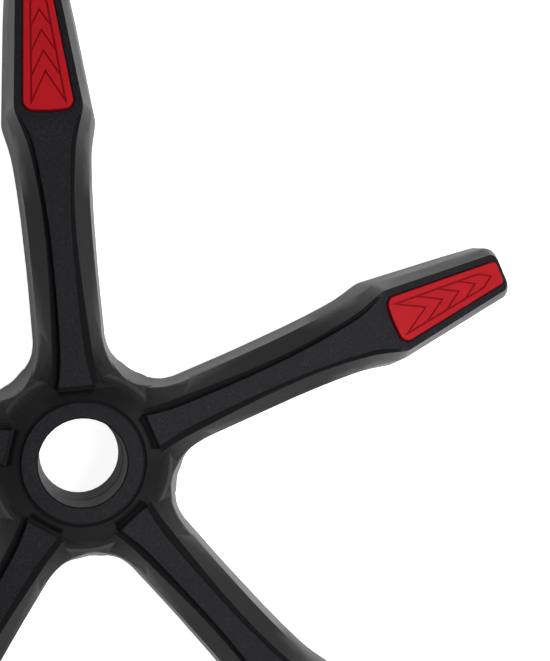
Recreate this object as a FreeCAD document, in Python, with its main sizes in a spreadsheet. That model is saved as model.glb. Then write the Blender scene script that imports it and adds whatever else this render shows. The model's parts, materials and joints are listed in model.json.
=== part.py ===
# Office chair five star base: one nylon star with five legs, and five red grip pads.
# Lengths are millimetres. The hub's axis is Z and its lower face is at height zero. The first leg runs along +X.
import FreeCAD
import Part
import Sketcher
import os

Vector = FreeCAD.Vector
doc = FreeCAD.newDocument("star")

# Sizes, each written once
sheet = doc.addObject("Spreadsheet::Sheet", "Sizes")
sizes = [
    # hub
    ("hubHeight", 85.0, "height of the hub"),
    ("boreRadius", 25.0, "lower band of the bore"),
    ("boreUpperRadius", 25.25, "upper band of the bore"),
    ("boreBandHeight", 45.0, "height of the line between the two bands"),
    ("mouthEdge", 0.45, "chamfer of the bore's upper mouth"),
    ("ringRadius", 34.5, "outer edge of the textured ring"),
    ("ringStep", 2.6, "depth of the step round the ring"),
    ("tubeRadius", 33.0, "hub tube below the ribs"),
    ("flankRadius", 50.5, "crease round the hub"),
    ("flankHeight", 72.5, "height of that crease"),
    ("creaseRadius", 1.4, "rounding of that crease"),
    ("rimRadius", 60.0, "outer limit of the hub's body inside the legs"),
    ("rimHeight", 55.5, "height of that limit"),
    # legs
    ("legBottom", 24.0, "height of the legs' lower edges"),
    ("tipRadius", 300.0, "leg tip from the axis"),
    ("panelStart", 41.8, "inner end of the centre panel"),
    ("panelHeight", 82.0, "height of the panel at its inner end"),
    ("kneeAlong", 205.0, "bend in the leg's upper side"),
    ("kneeHeight", 75.0, "height of the leg's upper side there"),
    ("tipHeight", 52.0, "height of the leg's upper side at the tip"),
    ("shoulderDrop", 19.0, "shoulder edge below the panel"),
    ("shoulderDropTip", 11.0, "shoulder edge below the land at the tip"),
    ("ledgeDrop", 5.5, "ledge beside the panel, below it"),
    # webs between the legs
    ("webAxis", 85.0, "axis of each web's curve from the hub's axis"),
    ("webFoot", 28.7, "radius of that curve at the lower edge"),
    ("webHead", 33.2, "radius of that curve above the hub"),
    # inside of the legs
    ("wall", 3.2, "wall thickness"),
    ("roofDrop", 9.0, "roof of the channel below the panel"),
    ("ribWidth", 2.4, "rib thickness"),
    ("ribAngle", 38.0, "slant of the crossed ribs"),
    ("ribPitch", 26.0, "pitch of the crossed ribs"),
    ("channelStart", 56.0, "inner end of the channel"),
    ("channelEnd", 289.0, "outer end of the channel"),
    ("socketAlong", 277.0, "caster socket from the axis"),
    ("socketRadius", 5.5, "caster socket"),
    ("socketTop", 50.0, "blind end of the socket"),
    ("bossRadius", 9.5, "boss round the socket"),
    # hub ribs
    ("ringPocketInner", 33.0, "inner side of the pockets round the tube"),
    ("ringPocketOuter", 49.0, "outer side of those pockets"),
    # pads
    ("padLength", 87.8, "pad along the leg"),
    ("padInner", 15.1, "half width at the inner end"),
    ("padOuter", 7.7, "half width at the outer end"),
    ("padBulge", 1.3, "bow of the inner end"),
    ("padCornerInner", 6.0, "inner corner rounding"),
    ("padCornerOuter", 3.4, "outer corner rounding"),
    ("padProud", 1.5, "pad above the land"),
    ("padRound", 1.1, "rounding of the pad's upper edge"),
    ("pocketDepth", 2.5, "pocket below the land"),
    ("padGap", 0.5, "gap round the pad"),
    ("studRadius", 2.5, "snap stud"),
    ("studPlay", 0.2, "play of the stud in its hole"),
    ("studFirst", 16.0, "first stud from the pad's inner end"),
    ("studPitch", 28.0, "distance between the studs"),
    ("grooveWidth", 1.1, "engraved line"),
    ("grooveDepth", 0.5, "depth of the engraved lines"),
    ("grooveStep", 2.1, "width of a chevron along the pad"),
    ("apexFirst", 26.0, "apex of the first chevron"),
    ("apexPitch", 13.6, "distance between the apexes"),
    ("footFirst", 5.2, "feet of the first chevron"),
    ("footPitch", 16.4, "distance between the feet"),
    ("footWidth", 10.4, "half width at the first feet"),
    ("footTaper", 0.0777, "narrowing of the engraved figure"),
]

# Leg stations: distance from the axis, then half widths at the foot, the shoulder edge and the ledge
stations = [
    ("A", 30.0, 27.0, 25.5, 14.6),
    ("B", 46.0, 27.3, 24.9, 13.4),
    ("C", 52.0, 25.6, 23.0, 12.4),
    ("D", 57.0, 24.0, 21.0, 11.8),
    ("E", 62.0, 22.9, 19.7, 11.4),
    ("F", 68.0, 22.35, 18.8, 11.1),
    ("G", 85.0, 22.1, 18.4, 10.25),
    ("H", 106.0, 22.0, 18.5, 9.3),
    ("I", 134.0, 22.3, 18.75, 9.0),
    ("J", 160.0, 23.0, 19.6, 10.3),
    ("K", 178.0, 24.1, 20.8, 12.5),
    ("L", 191.0, 25.5, 22.3, 15.0),
    ("M", 202.0, 28.0, 24.6, 18.5),
    ("N", 210.0, 29.0, 25.4, 19.7),
    ("Q", 304.0, 19.0, 16.2, 11.0),
]
# Panel stations: distance from the axis and half width
panelStations = [
    ("A", 0.0, 10.8),
    ("B", 46.0, 9.3),
    ("C", 52.0, 8.2),
    ("D", 60.0, 7.1),
    ("E", 72.0, 6.4),
    ("F", 90.0, 5.95),
    ("G", 112.0, 5.8),
    ("H", 135.0, 6.1),
    ("I", 160.0, 7.7),
    ("J", 178.0, 9.7),
    ("K", 191.0, 12.2),
    ("L", 202.0, 16.6),
]
line = 1
for name, value, text in sizes:
    sheet.set("A%d" % line, text)
    sheet.set("B%d" % line, str(value))
    sheet.setAlias("B%d" % line, name)
    line += 1
for name, along, foot, shoulder, ledge in stations:
    sheet.set("A%d" % line, "leg station " + name)
    cells = (("B", "along", along), ("C", "foot", foot), ("D", "shoulder", shoulder), ("E", "ledge", ledge))
    for column, word, value in cells:
        sheet.set("%s%d" % (column, line), str(value))
        sheet.setAlias("%s%d" % (column, line), word + "Station" + name)
    line += 1
for name, along, width in panelStations:
    sheet.set("A%d" % line, "panel station " + name)
    if along:
        sheet.set("B%d" % line, str(along))
    else:
        sheet.set("B%d" % line, "=panelStart")
    sheet.setAlias("B%d" % line, "alongPanel" + name)
    sheet.set("C%d" % line, str(width))
    sheet.setAlias("C%d" % line, "widthPanel" + name)
    line += 1
doc.recompute()


# Turns the names in an expression into cells of the sheet.
def sized(text):
    out = ""
    word = ""
    for letter in text + " ":
        if letter.isalnum():
            word += letter
            continue
        if word and word[0].isalpha() and word not in ("sin", "cos", "tan", "sqrt", "atan", "min", "max"):
            word = "Sizes." + word
        out += word + letter
        word = ""
    return out.strip()


def valueOf(text):
    result = sheet.evalExpression(sized(text))
    return float(getattr(result, "Value", result))


def near(number, text):
    return abs(number - valueOf(text)) < 0.01


def bind(thing, path, text):
    thing.setExpression(path, sized(text))


def originItem(body, role):
    for item in body.Origin.OriginFeatures:
        if item.Role == role:
            return item


def newBody(name, loose=False):
    body = doc.addObject("PartDesign::Body", name)
    body.AllowCompound = loose
    return body


def newSketch(body, name, plane, shift="0", along="0", turn="0"):
    sketch = body.newObject("Sketcher::SketchObject", name)
    sketch.AttachmentSupport = [(originItem(body, plane), "")]
    sketch.MapMode = "FlatFace"
    if shift != "0":
        bind(sketch, "AttachmentOffset.Base.z", shift)
    if along != "0":
        bind(sketch, "AttachmentOffset.Base.x", along)
    if turn != "0":
        sketch.AttachmentOffset = FreeCAD.Placement(Vector(), FreeCAD.Rotation(Vector(0, 0, 1), valueOf(turn)))
        bind(sketch, "AttachmentOffset.Rotation.Angle", turn)
    return sketch


def limit(sketch, kind, text, *where):
    index = sketch.addConstraint(Sketcher.Constraint(kind, *where, valueOf(text)))
    bind(sketch, "Constraints[%d]" % index, text)


# Draws a closed outline through corners given as expressions
# arcs maps a side's number to a radius and to the side its centre is on
def outline(sketch, corners, arcs=()):
    arcs = dict(arcs)
    count = len(corners)
    first = sketch.GeometryCount
    spots = [Vector(valueOf(x), valueOf(y), 0) for x, y in corners]
    for number in range(count):
        a = spots[number]
        b = spots[(number + 1) % count]
        if number in arcs:
            radius, side = arcs[number]
            r = valueOf(radius)
            chord = b - a
            half = chord.Length / 2
            normal = Vector(-chord.y, chord.x, 0).normalize() * side
            centre = (a + b) * 0.5 + normal * max(r * r - half * half, 0) ** 0.5
            middle = centre + ((a + b) * 0.5 - centre).normalize() * r
            if r == half:
                middle = centre - normal * r
            sketch.addGeometry(Part.Arc(a, middle, b), False)
        else:
            sketch.addGeometry(Part.LineSegment(a, b), False)
    starts = {}
    ends = {}
    for number in range(count):
        shape = sketch.Geometry[first + number]
        forward = (shape.StartPoint - spots[number]).Length < 1e-6
        starts[number] = 1 if forward else 2
        ends[number] = 2 if forward else 1
    for number in range(count):
        after = (number + 1) % count
        joint = Sketcher.Constraint("Coincident", first + number, ends[number], first + after, starts[after])
        sketch.addConstraint(joint)
    for number in range(count):
        x, y = corners[number]
        limit(sketch, "DistanceX", x, -1, 1, first + number, starts[number])
        limit(sketch, "DistanceY", y, -1, 1, first + number, starts[number])
        if number in arcs:
            limit(sketch, "Radius", arcs[number][0], first + number)


def disc(sketch, x, y, radius):
    number = sketch.addGeometry(Part.Circle(Vector(valueOf(x), valueOf(y), 0), Vector(0, 0, 1), valueOf(radius)), False)
    limit(sketch, "DistanceX", x, -1, 1, number, 3)
    limit(sketch, "DistanceY", y, -1, 1, number, 3)
    limit(sketch, "Radius", radius, number)


def box(sketch, x0, x1, y0, y1):
    outline(sketch, [(x0, y0), (x1, y0), (x1, y1), (x0, y1)])


def extrude(body, name, sketch, length, kind="Pad", backwards=False):
    doc.recompute()
    item = body.newObject("PartDesign::" + kind, name)
    item.Profile = sketch
    bind(item, "Length", length)
    item.Reversed = backwards
    sketch.Visibility = False
    doc.recompute()
    return item


def spin(body, name, sketch):
    item = body.newObject("PartDesign::Revolution", name)
    item.Profile = sketch
    item.ReferenceAxis = (sketch, ["V_Axis"])
    item.Angle = 360
    doc.recompute()
    return item


def loft(body, name, sketches, kind="AdditiveLoft", ruled=False):
    doc.recompute()
    item = body.newObject("PartDesign::" + kind, name)
    item.Profile = sketches[0]
    item.Sections = sketches[1:]
    item.Ruled = ruled
    doc.recompute()
    return item


# Rounds the edges of the body whose middle point passes the test.
def roundEdges(body, name, radius, wanted):
    base = body.Tip
    names = []
    for number, edge in enumerate(base.Shape.Edges, 1):
        middle = edge.valueAt((edge.FirstParameter + edge.LastParameter) / 2)
        if wanted(edge, middle):
            names.append("Edge%d" % number)
    item = body.newObject("PartDesign::Fillet", name)
    item.Base = (base, names)
    bind(item, "Radius", radius)
    doc.recompute()
    return item


def polar(body, name, features, count):
    item = body.newObject("PartDesign::PolarPattern", name)
    item.Originals = features
    item.Axis = (originItem(body, "Z_Axis"), [""])
    item.Angle = 360
    item.Occurrences = count
    body.Tip = item
    doc.recompute()
    return item


def row(body, name, features, count, length):
    item = body.newObject("PartDesign::LinearPattern", name)
    item.Originals = features
    item.Direction = (originItem(body, "X_Axis"), [""])
    bind(item, "Length", length)
    item.Occurrences = count
    body.Tip = item
    doc.recompute()
    return item


# A copy of a leg's object at another leg.
def turned(thing, name, number):
    copy = doc.addObject("App::Link", name)
    copy.LinkedObject = thing
    copy.LinkTransform = True
    copy.Placement = FreeCAD.Placement(Vector(), FreeCAD.Rotation(Vector(0, 0, 1), 72 * number))
    return copy


# Heights of the leg's upper side, its shoulder edge and its ledge, at a distance from the axis
innerSlope = "((panelHeight - kneeHeight) / (kneeAlong - panelStart))"
outerSlope = "((kneeHeight - tipHeight) / (tipRadius - kneeAlong))"


def topAt(x):
    inner = "panelHeight - (%s - panelStart) * %s" % (x, innerSlope)
    outer = "kneeHeight - (%s - kneeAlong) * %s" % (x, outerSlope)
    return "min(%s, %s)" % (inner, outer)


def shoulderAt(x):
    lift = "(shoulderDrop - shoulderDropTip) / (tipRadius - kneeAlong)"
    return "%s - shoulderDrop + max(0, %s - kneeAlong) * %s" % (topAt(x), x, lift)


def ledgeAt(x):
    return "%s - ledgeDrop * min(1, max(0, (kneeAlong + 1 - %s) / 45))" % (topAt(x), x)


def sixSided(sketch, widths, bottom, edge, top):
    foot, shoulder, upper = widths
    outline(sketch, [
        ("-(%s)" % foot, bottom),
        (foot, bottom),
        (shoulder, edge),
        (upper, top),
        ("-(%s)" % upper, top),
        ("-(%s)" % shoulder, edge),
    ])


# Hub: a turned body with the textured ring, the step round it, the sloping flank and the rim inside the legs
hub = newBody("hub")
sketch = newSketch(hub, "hubProfile", "XZ_Plane")
outline(sketch, [
    ("0", "0"),
    ("tubeRadius - 1", "0"),
    ("tubeRadius", "1"),
    ("tubeRadius", "legBottom"),
    ("rimRadius", "legBottom"),
    ("rimRadius", "rimHeight"),
    ("flankRadius", "flankHeight"),
    ("ringRadius + 1.9", "hubHeight - ringStep + 0.7"),
    ("ringRadius + 1.5", "hubHeight - ringStep"),
    ("ringRadius + 0.3", "hubHeight - ringStep"),
    ("ringRadius", "hubHeight"),
    ("0", "hubHeight"),
])
spin(hub, "hubTurned", sketch)
roundEdges(hub, "creaseRounded", "creaseRadius", lambda edge, middle: near(middle.z, "flankHeight"))
roundEdges(hub, "ringRounded", "0.5", lambda edge, middle: near(middle.z, "hubHeight") and middle.Length > 40)
cone = hub.newObject("PartDesign::SubtractiveCone", "webCurve")
bind(cone, "Radius1", "webFoot")
bind(cone, "Radius2", "webHead")
bind(cone, "Height", "hubHeight - legBottom + 7")
cone.AttachmentSupport = [(originItem(hub, "XY_Plane"), "")]
cone.MapMode = "FlatFace"
bind(cone, "AttachmentOffset.Base.x", "-webAxis")
bind(cone, "AttachmentOffset.Base.z", "legBottom - 2")
doc.recompute()
polar(hub, "webCurves", [cone], 5)

# Leg: smooth body with shoulders, through sections along the leg
leg = newBody("legBody")
sections = []
for name, along, foot, shoulder, ledge in stations:
    x = "alongStation" + name
    sketch = newSketch(leg, "legSection" + name, "YZ_Plane", x)
    widths = ["footStation" + name, "shoulderStation" + name, "ledgeStation" + name]
    sixSided(sketch, widths, "legBottom", shoulderAt(x), ledgeAt(x))
    sections.append(sketch)
loft(leg, "legShoulders", sections[:-1])
loft(leg, "legLand", sections[-2:], ruled=True)

# Raised centre panel that flares out into the land at the knee
sections = []
for name, along, width in panelStations:
    x = "alongPanel" + name
    w = "widthPanel" + name
    sketch = newSketch(leg, "panelSection" + name, "YZ_Plane", x)
    outline(sketch, [
        ("-(%s) - 0.5" % w, topAt(x) + " - ledgeDrop - 2"),
        (w + " + 0.5", topAt(x) + " - ledgeDrop - 2"),
        (w, topAt(x)),
        ("-(%s)" % w, topAt(x)),
    ])
    sections.append(sketch)
sketch = newSketch(leg, "panelSectionEnd", "YZ_Plane", "kneeAlong + 4")
x = "(kneeAlong + 4)"
outline(sketch, [
    ("-(ledgeStationN) + 0.9", topAt(x) + " - ledgeDrop - 2"),
    ("ledgeStationN - 0.9", topAt(x) + " - ledgeDrop - 2"),
    ("ledgeStationN - 1.1", topAt(x) + " - 0.4"),
    ("-(ledgeStationN) + 1.1", topAt(x) + " - 0.4"),
])
sections.append(sketch)
loft(leg, "panel", sections)

# Everything outside the rounded tip
outside = newBody("outsideTip")
sketch = newSketch(outside, "outsideBlock", "XY_Plane", "legBottom - 10")
box(sketch, "tipRadius - 38", "tipRadius + 30", "-60", "60")
extrude(outside, "outsidePad", sketch, "80")
levels = [
    ("Low", "legBottom - 12", "tipRadius + 0.8", "footStationQ + 1.35", "11", "6.8"),
    ("Middle", "tipHeight - shoulderDropTip", "tipRadius - 1.6", "shoulderStationQ + 0.75", "9.5", "7.4"),
    ("High", "tipHeight + 14", "tipRadius - 12", "ledgeStationQ - 2.7", "5.5", "15"),
]
sections = []
for name, height, end, half, bend, slant in levels:
    sketch = newSketch(outside, "tip" + name, "XY_Plane", height)
    back = "(tipRadius - 60)"
    reach = "(%s) / tan(45 + (%s) / 2)" % (bend, slant)
    wide = "(%s) + ((%s) - %s) * tan(%s)" % (half, end, back, slant)
    sideX = "(%s) - %s * cos(%s)" % (end, reach, slant)
    sideY = "(%s) + %s * sin(%s)" % (half, reach, slant)
    endY = "(%s) - %s" % (half, reach)
    outline(sketch, [
        (back, "-(%s)" % wide),
        (sideX, "-(%s)" % sideY),
        (end, "-(%s)" % endY),
        (end, endY),
        (sideX, sideY),
        (back, wide),
    ], {1: (bend, 1), 3: (bend, 1)})
    sections.append(sketch)
loft(outside, "insideTip", sections, "SubtractiveLoft", True)
legCut = doc.addObject("Part::Cut", "leg")
legCut.Base = leg
legCut.Tool = outside
doc.recompute()

# Channel under the leg, with walls of one thickness, left open below
channel = newBody("channel")
places = [("channelStart", "D")] + [("alongStation" + name, name) for name in "EFGHIJKLMN"] + [("channelEnd", "")]
sections = []
for number, (x, name) in enumerate(places):
    sketch = newSketch(channel, "channelSection%d" % number, "YZ_Plane", x)
    widths = []
    for word in ("foot", "shoulder", "ledge"):
        if name:
            widths.append("%sStation%s" % (word, name))
        else:
            share = "(channelEnd - alongStationN) / (alongStationQ - alongStationN)"
            widths.append("(%sStationN + %s * (%sStationQ - %sStationN))" % (word, share, word, word))
    inside = [widths[0] + " - wall", widths[1] + " - wall - 0.3", widths[2] + " - 2.2"]
    sixSided(sketch, inside, "legBottom - 1", shoulderAt(x), topAt(x) + " - roofDrop")
    sections.append(sketch)
loft(channel, "channelInner", sections[:-1])
loft(channel, "channelOuter", sections[-2:], ruled=True)

# Ribs that stay in the channel: crossed ribs, a spine, plates across and the boss of the caster socket
ribs = newBody("legRibs", True)
sketch = newSketch(ribs, "spine", "XY_Plane", "legBottom")
box(sketch, "channelStart - 6", "kneeAlong + 4", "-(ribWidth) / 2", "ribWidth / 2")
extrude(ribs, "spinePad", sketch, "hubHeight")
crossed = []
for name, turn in (("Left", "ribAngle"), ("Right", "-(ribAngle)")):
    sketch = newSketch(ribs, "rib" + name, "XY_Plane", "legBottom", "channelStart + 22", turn)
    box(sketch, "-34", "34", "-(ribWidth) / 2", "ribWidth / 2")
    crossed.append(extrude(ribs, "ribPad" + name, sketch, "hubHeight"))
row(ribs, "crossedRibs", crossed, 5, "4 * ribPitch")
sketch = newSketch(ribs, "plate", "XY_Plane", "legBottom")
box(sketch, "kneeAlong + 4 - ribWidth", "kneeAlong + 4", "-32", "32")
plate = extrude(ribs, "platePad", sketch, "hubHeight")
row(ribs, "plates", [plate], 3, "2 * studPitch")
sketch = newSketch(ribs, "endPlates", "XY_Plane", "legBottom")
outline(sketch, [
    ("kneeAlong + 4 + 2 * studPitch - ribWidth", "-(ribWidth) / 2"),
    ("socketAlong - ribWidth / 2", "-(ribWidth) / 2"),
    ("socketAlong - ribWidth / 2", "-28"),
    ("socketAlong + ribWidth / 2", "-28"),
    ("socketAlong + ribWidth / 2", "-(ribWidth) / 2"),
    ("channelEnd + 2", "-(ribWidth) / 2"),
    ("channelEnd + 2", "ribWidth / 2"),
    ("socketAlong + ribWidth / 2", "ribWidth / 2"),
    ("socketAlong + ribWidth / 2", "28"),
    ("socketAlong - ribWidth / 2", "28"),
    ("socketAlong - ribWidth / 2", "ribWidth / 2"),
    ("kneeAlong + 4 + 2 * studPitch - ribWidth", "ribWidth / 2"),
])
extrude(ribs, "endPlatesPad", sketch, "hubHeight")
sketch = newSketch(ribs, "boss", "XY_Plane", "legBottom")
disc(sketch, "socketAlong", "0", "bossRadius")
extrude(ribs, "bossPad", sketch, "hubHeight")
hollow = doc.addObject("Part::Cut", "hollow")
hollow.Base = channel
hollow.Tool = ribs

# Caster socket, blind from below
socket = newBody("socket")
sketch = newSketch(socket, "socketProfile", "XZ_Plane")
outline(sketch, [
    ("0", "legBottom - 2"),
    ("socketRadius + 2.8", "legBottom - 2"),
    ("socketRadius", "legBottom + 0.8"),
    ("socketRadius", "socketTop - 1"),
    ("socketRadius - 1", "socketTop"),
    ("0", "socketTop"),
])
spin(socket, "socketTurned", sketch)
bind(socket, "Placement.Base.x", "socketAlong")


def padOutline(sketch, gap):
    taper = "((padInner - padOuter) / padLength)"
    outline(sketch, [
        ("padBulge - (%s)" % gap, "-(padInner + %s + %s * %s)" % (gap, taper, gap)),
        ("padLength + %s" % gap, "-(padOuter + %s - %s * %s)" % (gap, taper, gap)),
        ("padLength + %s" % gap, "padOuter + %s - %s * %s" % (gap, taper, gap)),
        ("padBulge - (%s)" % gap, "padInner + %s + %s * %s" % (gap, taper, gap)),
    ], {3: ("(padInner * padInner + padBulge * padBulge) / (2 * padBulge)", 1)})


# Puts a body on the land: its own X runs down the land from the knee.
def tilt(body):
    body.Placement = FreeCAD.Placement(Vector(), FreeCAD.Rotation(Vector(0, 1, 0), 1))
    bind(body, "Placement.Base.x", "kneeAlong")
    bind(body, "Placement.Base.z", "kneeHeight")
    bind(body, "Placement.Rotation.Angle", "atan(%s)" % outerSlope)


def uprightCorners(body, name, inner, outer):
    half = valueOf("padLength") / 2

    def upright(edge):
        if len(edge.Vertexes) != 2:
            return False
        step = edge.Vertexes[0].Point - edge.Vertexes[1].Point
        return abs(step.x) < 0.01 and abs(step.y) < 0.01
    roundEdges(body, name + "Inner", inner, lambda edge, middle: upright(edge) and middle.x < half)
    roundEdges(body, name + "Outer", outer, lambda edge, middle: upright(edge) and middle.x > half)


# Pocket in the land for the pad, with two holes for the studs
pocket = newBody("pocket")
tilt(pocket)
sketch = newSketch(pocket, "pocketOutline", "XY_Plane", "-(pocketDepth)")
padOutline(sketch, "padGap")
extrude(pocket, "pocketBlock", sketch, "20")
uprightCorners(pocket, "pocketCorner", "padCornerInner + padGap", "padCornerOuter + padGap")
sketch = newSketch(pocket, "studHole", "XY_Plane", "-(pocketDepth) - 14")
disc(sketch, "studFirst", "0", "studRadius + studPlay")
hole = extrude(pocket, "studHoleBlock", sketch, "15")
row(pocket, "studHoles", [hole], 2, "studPitch")

# Hub's bore with its two bands, and the pockets between the ribs round the tube
bore = newBody("bore")
sketch = newSketch(bore, "boreProfile", "XZ_Plane")
outline(sketch, [
    ("0", "-2"),
    ("boreRadius", "-2"),
    ("boreRadius", "boreBandHeight - 0.25"),
    ("boreUpperRadius", "boreBandHeight"),
    ("boreUpperRadius + 0.05", "hubHeight - mouthEdge"),
    ("boreUpperRadius + 0.05 + mouthEdge + 2", "hubHeight + 2"),
    ("0", "hubHeight + 2"),
])
spin(bore, "boreTurned", sketch)
ringPocket = newBody("ringPocket")
sketch = newSketch(ringPocket, "ringPocketProfile", "XZ_Plane")
outline(sketch, [
    ("ringPocketInner", "legBottom - 1"),
    ("ringPocketOuter", "legBottom - 1"),
    ("ringPocketOuter", "flankHeight - 5"),
    ("ringPocketInner", "flankHeight + 5"),
])
spin(ringPocket, "ringPocketTurned", sketch)
hubRibs = newBody("hubRibs", True)
sketch = newSketch(hubRibs, "hubRib", "XY_Plane", "legBottom - 2")
box(sketch, "-(ringPocketOuter) - 5", "ringPocketOuter + 5", "-(ribWidth) / 2", "ribWidth / 2")
plate = extrude(hubRibs, "hubRibPad", sketch, "hubHeight")
polar(hubRibs, "hubRibPads", [plate], 5)
ringHollow = doc.addObject("Part::Cut", "ringHollow")
ringHollow.Base = ringPocket
ringHollow.Tool = hubRibs
doc.recompute()

# The star: hub and five legs in one, then every hollow taken out
legs = [legCut] + [turned(legCut, "legCopy%d" % number, number) for number in range(1, 5)]
solid = doc.addObject("Part::MultiFuse", "solidStar")
solid.Shapes = [hub] + legs
hollows = [bore, ringHollow]
for thing in (hollow, socket, pocket):
    hollows.append(thing)
    hollows += [turned(thing, thing.Name + "Copy%d" % number, number) for number in range(1, 5)]
tools = doc.addObject("Part::Compound", "hollows")
tools.Links = hollows
star = doc.addObject("Part::Cut", "starBase")
star.Base = solid
star.Tool = tools
star.Label = "star_base"
doc.recompute()

# Grip pad with its engraved figure and two snap studs
pad = newBody("gripPad")
tilt(pad)
sketch = newSketch(pad, "padOutline", "XY_Plane", "-(pocketDepth)")
padOutline(sketch, "0")
extrude(pad, "padBlock", sketch, "pocketDepth + padProud")
uprightCorners(pad, "padCorner", "padCornerInner", "padCornerOuter")
roundEdges(pad, "padUpperEdge", "padRound", lambda edge, middle: near(middle.z, "padProud"))
sketch = newSketch(pad, "sideLines", "XY_Plane", "padProud - grooveDepth")
last = "(footFirst + 4 * footPitch)"
for sign in ("", "-"):
    outline(sketch, [
        ("footFirst", "%s(footWidth)" % sign),
        (last, "%s(footWidth - footTaper * 4 * footPitch)" % sign),
        (last, "%s(footWidth - footTaper * 4 * footPitch - grooveWidth)" % sign),
        ("footFirst", "%s(footWidth - grooveWidth)" % sign),
    ])
extrude(pad, "sideLinesCut", sketch, "5", "Pocket", True)
sketch = newSketch(pad, "chevrons", "XY_Plane", "padProud - grooveDepth")
for number in range(5):
    feet = "(footFirst + %d * footPitch)" % number
    apex = "(apexFirst + %d * apexPitch)" % number
    width = "(footWidth - footTaper * %d * footPitch)" % number
    outline(sketch, [
        (feet, "-(%s)" % width),
        (apex, "0"),
        (feet, width),
        (feet + " - grooveStep", width),
        (apex + " - grooveStep", "0"),
        (feet + " - grooveStep", "-(%s)" % width),
    ])
extrude(pad, "chevronsCut", sketch, "5", "Pocket", True)
sketch = newSketch(pad, "stud", "XY_Plane", "-(pocketDepth) - 7.2")
disc(sketch, "studFirst", "0", "studRadius")
stud = extrude(pad, "studPad", sketch, "8")
row(pad, "studs", [stud], 2, "studPitch")
pads = [pad] + [turned(pad, "gripPadCopy%d" % number, number) for number in range(1, 5)]
doc.recompute()

bad = [item.Name for item in doc.Objects if "Invalid" in item.State or "Error" in item.State]
if bad:
    raise RuntimeError("features that failed: " + ", ".join(bad))
os.makedirs("parts", exist_ok=True)
nodes = [("star_base", star)] + [("grip_pad_%d" % (number + 1), item) for number, item in enumerate(pads)]
for name, item in nodes:
    item.Label = name
    shape = Part.getShape(item)
    if shape.isNull() or not shape.isValid() or len(shape.Solids) != 1:
        raise RuntimeError("the shape of %s is not one valid solid" % name)
    shape.exportStep("parts/%s.step" % name)
    print(name, round(shape.Volume), "mm3")
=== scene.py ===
import json
import math
import bpy
from mathutils import Matrix, Vector

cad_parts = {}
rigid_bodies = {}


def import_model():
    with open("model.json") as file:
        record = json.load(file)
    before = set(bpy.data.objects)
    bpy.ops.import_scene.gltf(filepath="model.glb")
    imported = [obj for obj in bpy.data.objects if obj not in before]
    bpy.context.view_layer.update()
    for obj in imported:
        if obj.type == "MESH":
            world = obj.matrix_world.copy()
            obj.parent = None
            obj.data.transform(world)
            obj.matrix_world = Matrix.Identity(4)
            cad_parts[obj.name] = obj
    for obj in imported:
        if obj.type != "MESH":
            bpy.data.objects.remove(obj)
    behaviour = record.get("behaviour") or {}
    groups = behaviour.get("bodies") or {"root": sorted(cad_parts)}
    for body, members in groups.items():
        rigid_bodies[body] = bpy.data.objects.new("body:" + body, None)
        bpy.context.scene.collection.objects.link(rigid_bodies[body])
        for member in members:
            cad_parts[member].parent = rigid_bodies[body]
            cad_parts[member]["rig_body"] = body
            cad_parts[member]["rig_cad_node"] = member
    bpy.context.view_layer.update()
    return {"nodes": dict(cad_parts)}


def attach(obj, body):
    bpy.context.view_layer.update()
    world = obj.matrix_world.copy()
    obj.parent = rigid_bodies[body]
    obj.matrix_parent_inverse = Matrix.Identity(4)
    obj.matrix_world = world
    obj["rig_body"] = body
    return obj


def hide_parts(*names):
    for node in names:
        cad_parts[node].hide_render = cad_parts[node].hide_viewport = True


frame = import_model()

legStep = math.radians(72)
smoothAngle = math.radians(24)
print("frame loaded")


class Number:
    # A number on a shader socket. Python's operators on it add Math nodes.
    def __init__(self, tree, socket):
        self.tree = tree
        self.socket = socket

    def apply(self, operation, *others):
        node = self.tree.nodes.new("ShaderNodeMath")
        node.operation = operation
        for index, value in enumerate((self,) + others):
            if isinstance(value, Number):
                self.tree.links.new(value.socket, node.inputs[index])
            else:
                node.inputs[index].default_value = value
        return Number(self.tree, node.outputs[0])

    def __add__(self, other):
        return self.apply("ADD", other)

    def __radd__(self, other):
        return self.apply("ADD", other)

    def __sub__(self, other):
        return self.apply("SUBTRACT", other)

    def __rsub__(self, other):
        return (self * -1.0) + other

    def __mul__(self, other):
        return self.apply("MULTIPLY", other)

    def __truediv__(self, other):
        return self.apply("DIVIDE", other)

    def greater(self, other):
        return self.apply("MAXIMUM", other)


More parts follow.
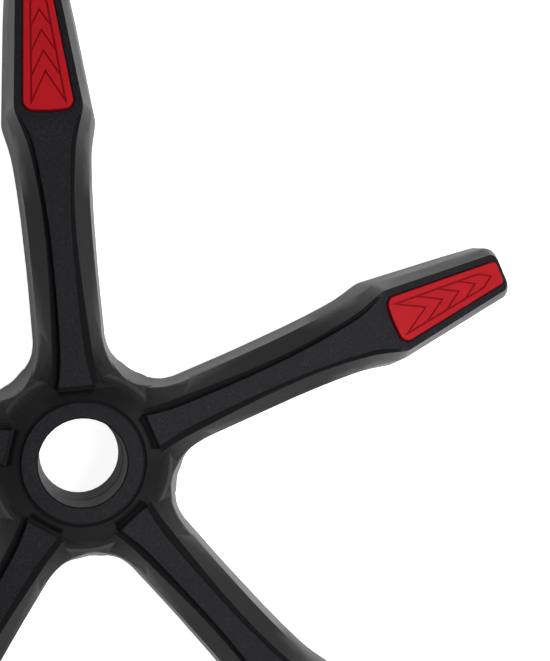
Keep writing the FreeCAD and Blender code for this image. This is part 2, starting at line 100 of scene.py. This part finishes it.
class Finish:
    # The nodes of one material, or of the world
    def __init__(self, owner, shader):
        owner.use_nodes = True
        self.tree = owner.node_tree
        self.shader = self.tree.nodes[shader]

    def add(self, kind, settings=None, **inputs):
        node = self.tree.nodes.new(kind)
        for name, value in (settings or {}).items():
            setattr(node, name, value)
        for name, value in inputs.items():
            self.put(node.inputs[name.replace("_", " ")], value)
        return node

    def put(self, socket, value):
        if isinstance(value, Number):
            self.tree.links.new(value.socket, socket)
        elif isinstance(value, bpy.types.NodeSocket):
            self.tree.links.new(value, socket)
        else:
            socket.default_value = value

    def set(self, **inputs):
        for name, value in inputs.items():
            self.put(self.shader.inputs[name.replace("_", " ")], value)

    def place(self, output="Object"):
        return self.add("ShaderNodeTexCoord").outputs[output]

    def axes(self, output="Object"):
        parts = self.add("ShaderNodeSeparateXYZ", Vector=self.place(output))
        return [Number(self.tree, parts.outputs[axis]) for axis in "XYZ"]

    def noise(self, scale, detail=2.0, roughness=0.5):
        node = self.add("ShaderNodeTexNoise", Vector=self.place(),
                        Scale=scale, Detail=detail, Roughness=roughness)
        return Number(self.tree, node.outputs["Fac"])

    def between(self, value, low, high):
        # 0 below low, 1 above high, smooth in between
        node = self.add("ShaderNodeMapRange", {"interpolation_type": "SMOOTHSTEP"},
                        Value=value, From_Min=low, From_Max=high)
        return Number(self.tree, node.outputs["Result"])

    def band(self, value, start, end, rise, fall):
        # 1 from start to end, with a smooth rise before start and a smooth fall after end
        return self.between(value, start - rise, start) * (1.0 - self.between(value, end, end + fall))

    def blend(self, mask, first, second):
        node = self.add("ShaderNodeMix", {"data_type": "RGBA"})
        self.put(node.inputs[0], mask)
        self.put(node.inputs[6], first)
        self.put(node.inputs[7], second)
        return node.outputs[2]

    def bump(self, height, distance, before):
        return self.add("ShaderNodeBump", Height=height, Distance=distance, Normal=before).outputs["Normal"]

    def softEdges(self, radius):
        return self.add("ShaderNodeBevel", {"samples": 6}, Radius=radius).outputs["Normal"]

    def onLeg(self):
        # Distance from the hub's axis, along the nearest leg and across it, and height
        x, y, z = self.axes()
        turn = y.apply("ARCTAN2", x)
        turn = turn - (turn / legStep).apply("ROUND") * legStep
        reach = (x * x + y * y).apply("SQRT")
        return reach, reach * turn.apply("COSINE"), reach * turn.apply("SINE"), z


# upper side of a leg: the panel falls to the knee, the land by the pad falls faster
legValues = {
    "panelStart": 0.0418,
    "endSlant": 0.0020,
    "panelHeight": 0.0820,
    "kneeAlong": 0.2050,
    "kneeHeight": 0.0750,
    "tipAlong": 0.3000,
    "tipHeight": 0.0520,
    "endNear": 0.0003,
    "endLowest": 0.0810,
}
panelRun = legValues["kneeAlong"] - legValues["panelStart"]
panelFall = (legValues["panelHeight"] - legValues["kneeHeight"]) / panelRun
landRun = legValues["tipAlong"] - legValues["kneeAlong"]
landFall = (legValues["kneeHeight"] - legValues["tipHeight"]) / landRun


def aboveLand(along, z):
    return z - (legValues["kneeHeight"] - (along - legValues["kneeAlong"]) * landFall)


def abovePanel(along, z):
    return z - (legValues["panelHeight"] - (along - legValues["panelStart"]) * panelFall)


# black nylon: smooth flanks, fine grain on the ring, the panels and the land round the pads
# colours, finishes, noises, then places in metres; a pair is where a fade starts and ends
# ledgeFacing is the upward share of a face's normal, creaseStart the sine of the angle from a leg
nylonValues = {
    "smoothColour": (0.0062, 0.0058, 0.0060, 1.0),
    "smoothCloud": (0.0090, 0.0084, 0.0086, 1.0),
    "grainColour": (0.0057, 0.0050, 0.0076, 1.0),
    # painted glints: pale specks on the grain
    "paintedGlintColour": (0.0262, 0.0238, 0.0325, 1.0),
    # painted sheen of grazing light: pale patches on the grain
    "paintedSheenColour": (0.0440, 0.0420, 0.0490, 1.0),
    # painted shade in the recesses, and a lighter painted shade at the panels' inner ends
    "recessShadeColour": (0.0060, 0.0055, 0.0064, 1.0),
    "endShadeColour": (0.0125, 0.0120, 0.0128, 1.0),
    # painted highlight along the web creases
    "creaseHighlightColour": (0.0340, 0.0325, 0.0325, 1.0),
    # painted shade at the bore's mouth, painted light on the bore's wall and a painted highlight on the
    # line round it
    "mouthShadeColour": (0.0020, 0.0020, 0.0020, 1.0),
    "boreLightColour": (0.0520, 0.0500, 0.0505, 1.0),
    "boreHighlightColour": (0.2600, 0.2500, 0.2500, 1.0),
    "specular": 0.17,
    "smoothRoughness": 0.25,
    "cloudRoughness": 0.06,
    "grainRoughness": 0.60,
    "recessRoughness": 0.85,
    "mouthRoughness": 0.90,
    "edgeRadius": 0.0007,
    "cloudScale": 35.0,
    "cloudShown": (0.35, 0.75),
    "paintedGlintScale": 1450.0,
    "paintedGlintShown": (0.50, 0.72),
    "paintedSheenScale": 52.0,
    "paintedSheenShown": (0.56, 0.74),
    "sheenBreakupScale": 620.0,
    "sheenBreakupShown": (0.50, 0.64),
    "paintedSheenShare": 0.6,
    "grainScale": 1500.0,
    "grainDepth": 0.00010,
    "skinScale": 420.0,
    "skinDepth": 0.000020,
    "topShown": (-0.0006, -0.0002),
    "ringHeight": (0.0840, 0.0846),
    "mouthReach": (0.0258, 0.0262),
    "mouthHeight": (0.0838, 0.0842),
    "boreReach": (0.0254, 0.0257),
    "boreLine": 0.0450,
    "boreLineHalf": (0.0003, 0.0006),
    "ledgeFacing": (0.80, 0.86),
    "endInner": 0.0412,
    "endOuter": 0.0475,
    "gutterInner": 0.0344,
    "gutterOuter": 0.0367,
    "gutterHeight": (0.060, 0.065),
    "creaseInner": 0.0522,
    "creaseOuter": 0.0528,
    "creaseHeight": (0.067, 0.070),
    "creaseStart": 0.36,
}
nylon = bpy.data.materials.new("blackNylon")
finish = Finish(nylon, "Principled BSDF")
reach, along, across, z = finish.onLeg()

# where the grain is: the tops of panels and lands, and the ring round the bore
top = abovePanel(along, z).greater(aboveLand(along, z))
panelEdge = legValues["panelStart"] + legValues["endSlant"]
onTop = finish.between(top, *nylonValues["topShown"])
onTop = onTop * finish.between(along, panelEdge - 0.001, panelEdge)
onRing = finish.between(z, *nylonValues["ringHeight"])
grained = onTop.greater(onRing)

# smooth and grained colours, with pale specks painted on the grain as glints and pale patches painted on it
# as sheen of grazing light
paintedGlint = finish.between(finish.noise(nylonValues["paintedGlintScale"], 2.0, 0.7), *nylonValues["paintedGlintShown"])
paintedSheen = finish.between(finish.noise(nylonValues["paintedSheenScale"], 5.0, 0.68), *nylonValues["paintedSheenShown"])
sheenBreakup = finish.between(finish.noise(nylonValues["sheenBreakupScale"], 4.0, 0.75), *nylonValues["sheenBreakupShown"])
cloud = finish.noise(nylonValues["cloudScale"], 3.0, 0.5)
cloudy = finish.between(cloud, *nylonValues["cloudShown"])
smooth = finish.blend(cloudy, nylonValues["smoothColour"], nylonValues["smoothCloud"])
rough = finish.blend(paintedGlint, nylonValues["grainColour"], nylonValues["paintedGlintColour"])
rough = finish.blend(paintedSheen * sheenBreakup * nylonValues["paintedSheenShare"], rough, nylonValues["paintedSheenColour"])
colour = finish.blend(grained, smooth, rough)

# painted shade and a matte finish in the recesses: the ledges beside the panels, the panels' inner ends and
# the gutter round the ring
trueNormal = finish.add("ShaderNodeNewGeometry").outputs["True Normal"]
facing = finish.add("ShaderNodeSeparateXYZ", Vector=trueNormal)
onLedge = finish.between(Number(finish.tree, facing.outputs["Z"]), *nylonValues["ledgeFacing"])
atEnd = finish.band(reach, nylonValues["endInner"], nylonValues["endOuter"], 0.0007, 0.0015)
atEnd = atEnd * finish.band(along, legValues["panelStart"] - 0.0001, panelEdge, 0.0003, 0.0004)
inGutter = finish.band(reach, nylonValues["gutterInner"], nylonValues["gutterOuter"], 0.0002, 0.0004)
inGutter = inGutter * finish.between(z, *nylonValues["gutterHeight"])
recess = onLedge.greater(atEnd).greater(inGutter) * (1.0 - grained)
colour = finish.blend(recess, colour, nylonValues["recessShadeColour"])
# a lighter painted shade on the band at each panel's inner end
colour = finish.blend(atEnd * (1.0 - grained), colour, nylonValues["endShadeColour"])

# a painted highlight along the crease of each web
creaseHighlight = finish.band(reach, nylonValues["creaseInner"], nylonValues["creaseOuter"], 0.0002, 0.0002)
besideLegs = across.apply("ABSOLUTE") - reach * nylonValues["creaseStart"]
creaseHighlight = creaseHighlight * finish.between(besideLegs, 0.0, 0.001)
creaseHighlight = creaseHighlight * finish.between(z, *nylonValues["creaseHeight"])
colour = finish.blend(creaseHighlight, colour, nylonValues["creaseHighlightColour"])

# painted light on the bore's wall, a painted highlight on the line round it, and painted shade on the edge
# of its mouth
inBore = 1.0 - finish.between(reach, *nylonValues["boreReach"])
fromLine = (z - nylonValues["boreLine"]).apply("ABSOLUTE")
onBoreHighlight = 1.0 - finish.between(fromLine, *nylonValues["boreLineHalf"])
inMouth = 1.0 - finish.between(reach, *nylonValues["mouthReach"])
inMouth = inMouth * finish.between(z, *nylonValues["mouthHeight"])
colour = finish.blend(inBore, colour, nylonValues["boreLightColour"])
colour = finish.blend(inBore * onBoreHighlight, colour, nylonValues["boreHighlightColour"])
colour = finish.blend(inMouth, colour, nylonValues["mouthShadeColour"])

roughness = grained * (nylonValues["grainRoughness"] - nylonValues["smoothRoughness"])
roughness = roughness + nylonValues["smoothRoughness"] + (cloud - 0.5) * nylonValues["cloudRoughness"]
roughness = roughness.greater(recess * nylonValues["recessRoughness"])
roughness = roughness.greater(inMouth * nylonValues["mouthRoughness"])
normal = finish.softEdges(nylonValues["edgeRadius"])
normal = finish.bump(finish.noise(nylonValues["skinScale"]), nylonValues["skinDepth"], normal)
grain = finish.noise(nylonValues["grainScale"], 3.0, 0.65)
normal = finish.bump(grain * grained, nylonValues["grainDepth"], normal)
finish.set(Base_Color=colour, Roughness=roughness, Normal=normal,
           Specular_IOR_Level=nylonValues["specular"])

# red rubber of the grip pads, with painted shade in a deeper red in the engraved lines and on the walls
padValues = {
    "colour": (0.465, 0.0080, 0.0135, 1.0),
    "cloudColour": (0.430, 0.0072, 0.0122, 1.0),
    # painted shade for the engraved lines and the walls
    "grooveShadeColour": (0.240, 0.0010, 0.0045, 1.0),
    "roughness": 0.50,
    "cloudRoughness": 0.08,
    "specular": 0.12,
    "edgeRadius": 0.0005,
    "cloudScale": 60.0,
    "cloudShown": (0.3, 0.8),
    "grainScale": 1800.0,
    "grainDepth": 0.00004,
    "plainHeight": (0.00136, 0.00148),
}
padRed = bpy.data.materials.new("redPad")
finish = Finish(padRed, "Principled BSDF")
_, along, _, z = finish.onLeg()
grooveShade = 1.0 - finish.between(aboveLand(along, z), *padValues["plainHeight"])
cloud = finish.noise(padValues["cloudScale"])
cloudy = finish.between(cloud, *padValues["cloudShown"])
colour = finish.blend(cloudy, padValues["colour"], padValues["cloudColour"])
colour = finish.blend(grooveShade, colour, padValues["grooveShadeColour"])
roughness = padValues["roughness"] + (cloud - 0.5) * padValues["cloudRoughness"]
normal = finish.softEdges(padValues["edgeRadius"])
grain = finish.noise(padValues["grainScale"], 2.0, 0.6)
normal = finish.bump(grain, padValues["grainDepth"], normal)
finish.set(Base_Color=colour, Roughness=roughness, Normal=normal,
           Specular_IOR_Level=padValues["specular"])
print("nylon and rubber mixed")


def mergedCopy(node, name, material):
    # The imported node's own form with its triangles joined, so that its curved sides shade smoothly
    piece = node.copy()
    piece.data = node.data.copy()
    piece.name = name
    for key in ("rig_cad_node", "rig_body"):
        del piece[key]
    bpy.context.scene.collection.objects.link(piece)
    piece.parent = None
    bpy.ops.object.select_all(action="DESELECT")
    piece.select_set(True)
    bpy.context.view_layer.objects.active = piece
    bpy.ops.mesh.customdata_custom_splitnormals_clear()
    bpy.ops.object.mode_set(mode="EDIT")
    bpy.ops.mesh.select_all(action="SELECT")
    bpy.ops.mesh.remove_doubles(threshold=0.000004)
    bpy.ops.object.mode_set(mode="OBJECT")
    piece.data.materials.clear()
    piece.data.materials.append(material)
    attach(piece, "root")
    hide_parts(node.name)
    return piece


# webs between the legs: their outer walls lean outwards on the way down, as moulded walls do
# heights and distances in metres, angles in degrees; a pair is where a fade starts and ends
webValues = {
    "upperHeight": 0.0725,
    "lowerHeight": 0.0285,
    "shadeHeight": 0.0120,
    "shadeReach": 0.0525,
    "innerReach": 0.0515,
    "outerReach": 0.0780,
    "halfAngle": 26.0,
    "flattest": 0.95,
    "innerFade": (0.0505, 0.0545),
    "outerFade": (0.0580, 0.0800),
    "sideFade": (6.0, 26.0),
    "gapCentre": 0.0960,
    "spread": 0.0058,
    "mostLean": 1.05,
    "cuts": 3,
}


def smoothShare(value, low, high):
    share = min(1.0, max(0.0, (value - low) / (high - low)))
    return share * share * (3.0 - 2.0 * share)


def fromBisector(place):
    # Angle in degrees from the middle of the nearest gap between two legs
    turn = math.atan2(place.y, place.x) / legStep - 0.5
    return abs(turn - round(turn)) * math.degrees(legStep)


def onWeb(place, inner, lowest, values):
    # Whether a place lies on the web of its gap, further out than inner and above lowest
    reach = place.xy.length
    inside = inner < reach < values["outerReach"] and lowest < place.z < values["upperHeight"]
    return inside and fromBisector(place) < values["halfAngle"]


def leanWebs(piece, values):
    bpy.ops.object.mode_set(mode="EDIT")
    bpy.ops.mesh.select_mode(type="FACE")
    bpy.ops.mesh.select_all(action="DESELECT")
    bpy.ops.object.mode_set(mode="OBJECT")
    for face in piece.data.polygons:
        steep = abs(face.normal.z) < values["flattest"]
        face.select = steep and onWeb(face.center, values["innerReach"], -1.0, values)
    bpy.ops.object.mode_set(mode="EDIT")
    bpy.ops.mesh.subdivide(number_cuts=values["cuts"])
    bpy.ops.object.mode_set(mode="OBJECT")
    for point in piece.data.vertices:
        reach = point.co.xy.length
        share = 1.0 - smoothShare(fromBisector(point.co), *values["sideFade"])
        share *= smoothShare(reach, *values["innerFade"])
        share *= 1.0 - smoothShare(reach, *values["outerFade"])
        lean = (values["upperHeight"] - point.co.z) / (values["upperHeight"] - values["lowerHeight"])
        lean = min(values["mostLean"], max(0.0, lean))
        turn = (math.floor(math.atan2(point.co.y, point.co.x) / legStep) + 0.5) * legStep
        middle = Vector((math.cos(turn), math.sin(turn))) * values["gapCentre"]
        outwards = (middle - point.co.xy).normalized() * values["spread"] * lean * share
        point.co.x += outwards.x
        point.co.y += outwards.y


def joinWebShading(piece, values):
    # Inside the leaning webs no edge stays sharp, so the wall shades as one curved face
    points = piece.data.vertices
    for edge in piece.data.edges:
        middle = (points[edge.vertices[0]].co + points[edge.vertices[1]].co) / 2
        if onWeb(middle, values["shadeReach"], values["shadeHeight"], values):
            edge.use_edge_sharp = False


def slantPanelEnds(piece):
    # The upper edge of each panel's inner end goes outwards, down the panel, so that its face leans
    for point in piece.data.vertices:
        turn = math.atan2(point.co.y, point.co.x)
        turn = round(turn / legStep) * legStep
        outwards = Vector((math.cos(turn), math.sin(turn), -panelFall))
        along = point.co.xy.dot(outwards.xy)
        atEdge = abs(along - legValues["panelStart"]) < legValues["endNear"]
        if atEdge and point.co.z > legValues["endLowest"]:
            point.co += outwards * legValues["endSlant"]


nodes = frame["nodes"]
star = mergedCopy(nodes["star_base"], "star", nylon)
leanWebs(star, webValues)
slantPanelEnds(star)
pieces = [star]
for number in range(1, 6):
    pieces.append(mergedCopy(nodes["grip_pad_%d" % number], "gripPad%d" % number, padRed))
for piece in pieces:
    bpy.ops.object.select_all(action="DESELECT")
    piece.select_set(True)
    bpy.context.view_layer.objects.active = piece
    bpy.ops.object.shade_smooth_by_angle(angle=smoothAngle)
joinWebShading(star, webValues)
print("star and pads dressed")

# floor: white to the camera and in reflections, with the star's shadow on it
floorValues = {
    "half": 3.0,
    "height": -0.0003,
    "colour": (0.82, 0.82, 0.82, 1.0),
    "seenGlow": 0.93,
    "mirroredGlow": 0.10,
}
bpy.ops.mesh.primitive_plane_add(size=2 * floorValues["half"], location=(0, 0, floorValues["height"]))
floor = bpy.context.object
floor.name = "floor"
bpy.ops.object.transform_apply(location=True, rotation=True, scale=True)
whiteFloor = bpy.data.materials.new("whiteFloor")
finish = Finish(whiteFloor, "Principled BSDF")
rays = finish.add("ShaderNodeLightPath").outputs
seen = Number(finish.tree, rays["Is Camera Ray"])
passing = Number(finish.tree, rays["Is Transmission Ray"])
mirrored = Number(finish.tree, rays["Is Glossy Ray"]).greater(passing)
glow = seen * floorValues["seenGlow"] + mirrored * floorValues["mirroredGlow"]
shine = finish.blend(glow, (0.0, 0.0, 0.0, 1.0), (1.0, 1.0, 1.0, 1.0))
finish.set(Base_Color=floorValues["colour"], Roughness=1.0, Specular_IOR_Level=0.0,
           Emission_Color=shine, Emission_Strength=1.0)
floor.data.materials.append(whiteFloor)
print("floor laid")

# world: white to the camera, and otherwise a tent with a bright horizon and a dark top
worldValues = {
    "overhead": 0.04,
    "middle": 0.26,
    "horizon": 1.20,
    "lowRise": (0.02, 0.27),
    "highRise": (0.30, 0.80),
}
world = bpy.data.worlds.new("tent")
bpy.context.scene.world = world
finish = Finish(world, "Background")
rise = finish.axes("Generated")[2]
lower = finish.between(rise, *worldValues["lowRise"]) * (worldValues["middle"] - worldValues["horizon"])
upper = finish.between(rise, *worldValues["highRise"]) * (worldValues["overhead"] - worldValues["middle"])
level = worldValues["horizon"] + lower + upper
seen = Number(finish.tree, finish.add("ShaderNodeLightPath").outputs["Is Camera Ray"])
finish.set(Color=(1.0, 1.0, 1.0, 1.0), Strength=seen + (1.0 - seen) * level)

print("tent set")

# softboxes: azimuth and elevation seen from the hub, distance, width, height, watts
lampValues = {
    "key": (-52, 69, 1.5, 0.7, 0.7, 16.0),
    "slope": (15, 58, 1.5, 0.8, 0.6, 4.0),
    "side": (-5, 20, 1.7, 1.4, 0.5, 1.8),
    "fill": (120, 33, 1.6, 1.0, 0.8, 1.3),
}
aim = Vector((0.1, 0.06, 0.07))
for name, (azimuth, elevation, distance, width, height, power) in lampValues.items():
    a = math.radians(azimuth)
    e = math.radians(elevation)
    spot = aim + distance * Vector((math.cos(e) * math.cos(a), math.cos(e) * math.sin(a), math.sin(e)))
    bpy.ops.object.light_add(type="AREA", location=spot)
    lamp = bpy.context.object
    lamp.name = name
    lamp.data.shape = "RECTANGLE"
    lamp.data.size = width
    lamp.data.size_y = height
    lamp.data.energy = power
    lamp.rotation_euler = (spot - aim).to_track_quat("Z", "Y").to_euler()
print("lights set")

# camera in the photograph's place, in metres
cameraValues = {
    "place": (0.001601, 0.053432, 0.737603),
    "right": (0.897208, -0.394878, 0.197712),
    "up": (0.395178, 0.917748, 0.039665),
    "focalPixels": 1125.16,
    "frameWidth": 550,
    "sensor": 36.0,
    "near": 0.01,
    "far": 20.0,
}
bpy.ops.object.camera_add()
camera = bpy.context.object
right = Vector(cameraValues["right"]).normalized()
up = Vector(cameraValues["up"])
up = (up - right * up.dot(right)).normalized()
turn = Matrix((right, up, right.cross(up))).transposed().to_4x4()
camera.matrix_world = Matrix.Translation(Vector(cameraValues["place"])) @ turn
camera.data.sensor_fit = "HORIZONTAL"
camera.data.sensor_width = cameraValues["sensor"]
camera.data.lens = cameraValues["focalPixels"] / cameraValues["frameWidth"] * cameraValues["sensor"]
camera.data.clip_start = cameraValues["near"]
camera.data.clip_end = cameraValues["far"]
bpy.context.scene.camera = camera
bpy.context.scene.view_settings.view_transform = "Standard"
print("camera set")
